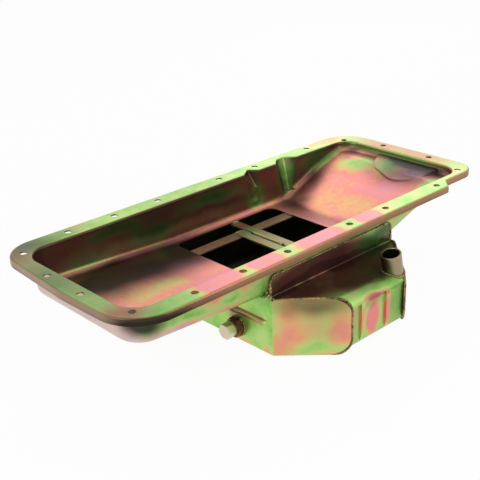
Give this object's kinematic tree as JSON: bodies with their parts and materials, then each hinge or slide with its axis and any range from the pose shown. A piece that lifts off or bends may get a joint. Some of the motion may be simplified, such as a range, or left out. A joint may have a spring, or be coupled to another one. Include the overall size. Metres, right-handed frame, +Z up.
{
  "type": "engine oil pan",
  "caption": "Pressed steel engine oil pan with a flat bolted flange, sloping end ramp, floor baffle and a deep welded sump that steps out to one side.",
  "frame": {"origin": "centre of the four corner bolt holes, on the flange face that seals to the block", "axes": "+X along the engine towards the ramp end, +Y across it away from the side that the sump steps out to, +Z up out of the flange face"},
  "size_m": [0.6059, 0.297, 0.128],
  "materials": {
    "zinc_pan": "yellow passivated zinc plate",
    "zinc_baffle": "yellow passivated zinc plate",
    "zinc_sump": "yellow passivated zinc plate",
    "zinc_plate_left": "yellow passivated zinc plate",
    "zinc_plate_right": "yellow passivated zinc plate",
    "zinc_tube": "yellow passivated zinc plate",
    "zinc_bung": "yellow passivated zinc plate",
    "washer_metal": "plain plated metal",
    "zinc_plug": "yellow passivated zinc plate"
  },
  "bodies": {
    "root": {"pan_body": "zinc_pan", "baffle_cross_strip": "zinc_baffle", "baffle_angle_left": "zinc_baffle", "baffle_angle_right": "zinc_baffle", "sump_shell": "zinc_sump", "sump_plate_left": "zinc_plate_left", "sump_plate_right": "zinc_plate_right", "dipstick_tube": "zinc_tube", "drain_bung": "zinc_bung", "sealing_washer": "washer_metal", "drain_plug": "zinc_plug"}
  },
  "joints": []
}
